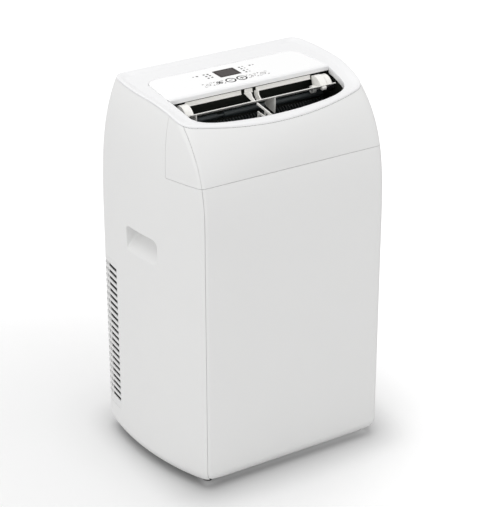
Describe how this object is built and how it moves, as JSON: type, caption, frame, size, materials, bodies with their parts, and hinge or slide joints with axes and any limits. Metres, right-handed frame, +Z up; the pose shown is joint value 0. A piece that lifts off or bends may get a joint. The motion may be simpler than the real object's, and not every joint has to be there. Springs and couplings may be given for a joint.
{
  "type": "portable air conditioner",
  "caption": "Free-standing portable air conditioner: bowed white cabinet on castors, louvred top outlet, touch panel, side intakes, rear hose collar and the full air and cooling circuit.",
  "frame": {"origin": "on the floor under the middle of the cabinet", "axes": "+Z up, front panel towards -Y, +X to the right of someone who looks at the front"},
  "size_m": [0.46, 0.306, 0.7],
  "materials": {
    "black_paint": "gloss black paint",
    "black_plastic": "matt black",
    "board": "green lacquer",
    "castor_plastic": "matt black",
    "copper_tube": "bright copper",
    "display_plastic": "high gloss",
    "duct_plastic": "matt black",
    "fin_aluminium": "mill finish",
    "grey_plastic": "matt",
    "louver_plastic": "satin",
    "motor_steel": "plain",
    "panel_plastic": "high gloss",
    "rubber": "matt rubber",
    "shell_plastic": "satin, fine grain",
    "top_plastic": "satin gloss",
    "zinc_steel": "zinc plated"
  },
  "bodies": {
    "cabinet": {"base_pan": "black_plastic", "left_side_panel": "shell_plastic", "right_side_panel": "shell_plastic", "left_intake_grille": "shell_plastic", "right_intake_grille": "shell_plastic", "left_cheek": "shell_plastic", "right_cheek": "shell_plastic", "front_panel": "shell_plastic", "front_hood": "shell_plastic", "rear_cover": "shell_plastic", "rear_screws": "zinc_steel", "top_cover": "top_plastic", "control_panel": "panel_plastic", "display_window": "display_plastic", "control_board": "board", "outlet_duct": "duct_plastic", "outlet_guard": "black_plastic", "outlet_rib": "louver_plastic", "louver_motor": "motor_steel", "louver_bush": "black_plastic", "evaporator_coil": "fin_aluminium", "evaporator_scroll": "black_plastic", "evaporator_motor": "motor_steel", "drip_tray": "grey_plastic", "condenser_coil": "fin_aluminium", "condenser_scroll": "black_plastic", "condenser_motor": "motor_steel", "compressor": "black_paint", "suction_accumulator": "black_paint", "compressor_grommets": "rubber", "suction_pipe": "copper_tube", "discharge_pipe": "copper_tube", "liquid_line": "copper_tube", "splash_motor": "motor_steel", "electrical_box": "grey_plastic", "run_capacitor": "zinc_steel", "hose_collar": "shell_plastic", "cord_gland": "black_plastic"},
    "louver": {"louver": "louver_plastic"},
    "evaporator_wheel": {"evaporator_wheel": "black_plastic"},
    "condenser_wheel": {"condenser_wheel": "black_plastic"},
    "splash_wheel": {"splash_wheel": "grey_plastic"},
    "upper_filter": {"upper_filter": "shell_plastic"},
    "lower_filter": {"lower_filter": "shell_plastic"},
    "upper_drain_plug": {"upper_drain_plug": "rubber"},
    "lower_drain_plug": {"lower_drain_plug": "rubber"},
    "castor_fork_fl": {"castor_fork_fl": "castor_plastic", "castor_axle_fl": "zinc_steel"},
    "castor_wheel_fl": {"castor_wheel_fl": "castor_plastic"},
    "castor_fork_fr": {"castor_fork_fr": "castor_plastic", "castor_axle_fr": "zinc_steel"},
    "castor_wheel_fr": {"castor_wheel_fr": "castor_plastic"},
    "castor_fork_rl": {"castor_fork_rl": "castor_plastic", "castor_axle_rl": "zinc_steel"},
    "castor_wheel_rl": {"castor_wheel_rl": "castor_plastic"},
    "castor_fork_rr": {"castor_fork_rr": "castor_plastic", "castor_axle_rr": "zinc_steel"},
    "castor_wheel_rr": {"castor_wheel_rr": "castor_plastic"}
  },
  "joints": [
    {"name": "louver_swing", "type": "hinge", "parent": "cabinet", "child": "louver", "pos_m": [0, -0.012, 0.661], "axis": [1, 0, 0], "range_deg": [-20, 60]},
    {"name": "evaporator_fan_spin", "type": "hinge", "parent": "cabinet", "child": "evaporator_wheel", "pos_m": [0, -0.034, 0.528], "axis": [0, 1, 0], "continuous": true},
    {"name": "condenser_fan_spin", "type": "hinge", "parent": "cabinet", "child": "condenser_wheel", "pos_m": [0.06, 0.053, 0.19], "axis": [0, 1, 0], "continuous": true},
    {"name": "splash_spin", "type": "hinge", "parent": "cabinet", "child": "splash_wheel", "pos_m": [-0.079, 0.086, 0.066], "axis": [0, 1, 0], "continuous": true},
    {"name": "upper_filter_tilt", "type": "hinge", "parent": "cabinet", "child": "upper_filter", "pos_m": [0, 0.1465, 0.451], "axis": [-1, 0, 0], "range_deg": [0, 30]},
    {"name": "lower_filter_tilt", "type": "hinge", "parent": "cabinet", "child": "lower_filter", "pos_m": [0, 0.1465, 0.073], "axis": [-1, 0, 0], "range_deg": [0, 30]},
    {"name": "upper_plug_pull", "type": "slide", "parent": "cabinet", "child": "upper_drain_plug", "axis": [0, 1, 0], "range_m": [0, 0.02]},
    {"name": "lower_plug_pull", "type": "slide", "parent": "cabinet", "child": "lower_drain_plug", "axis": [0, 1, 0], "range_m": [0, 0.02]},
    {"name": "castor_swivel_fl", "type": "hinge", "parent": "cabinet", "child": "castor_fork_fl", "pos_m": [-0.152, -0.106, 0.05], "axis": [0, 0, 1], "continuous": true},
    {"name": "castor_roll_fl", "type": "hinge", "parent": "castor_fork_fl", "child": "castor_wheel_fl", "pos_m": [-0.16043, -0.11718, 0.02], "axis": [0.7986, -0.6018, 0], "continuous": true},
    {"name": "castor_swivel_fr", "type": "hinge", "parent": "cabinet", "child": "castor_fork_fr", "pos_m": [0.152, -0.106, 0.05], "axis": [0, 0, 1], "continuous": true},
    {"name": "castor_roll_fr", "type": "hinge", "parent": "castor_fork_fr", "child": "castor_wheel_fr", "pos_m": [0.16043, -0.11718, 0.02], "axis": [0.7986, 0.6018, 0], "continuous": true},
    {"name": "castor_swivel_rl", "type": "hinge", "parent": "cabinet", "child": "castor_fork_rl", "pos_m": [-0.152, 0.106, 0.05], "axis": [0, 0, 1], "continuous": true},
    {"name": "castor_roll_rl", "type": "hinge", "parent": "castor_fork_rl", "child": "castor_wheel_rl", "pos_m": [-0.16043, 0.11718, 0.02], "axis": [-0.7986, -0.6018, 0], "continuous": true},
    {"name": "castor_swivel_rr", "type": "hinge", "parent": "cabinet", "child": "castor_fork_rr", "pos_m": [0.152, 0.106, 0.05], "axis": [0, 0, 1], "continuous": true},
    {"name": "castor_roll_rr", "type": "hinge", "parent": "castor_fork_rr", "child": "castor_wheel_rr", "pos_m": [0.16043, 0.11718, 0.02], "axis": [-0.7986, 0.6018, 0], "continuous": true}
  ]
}
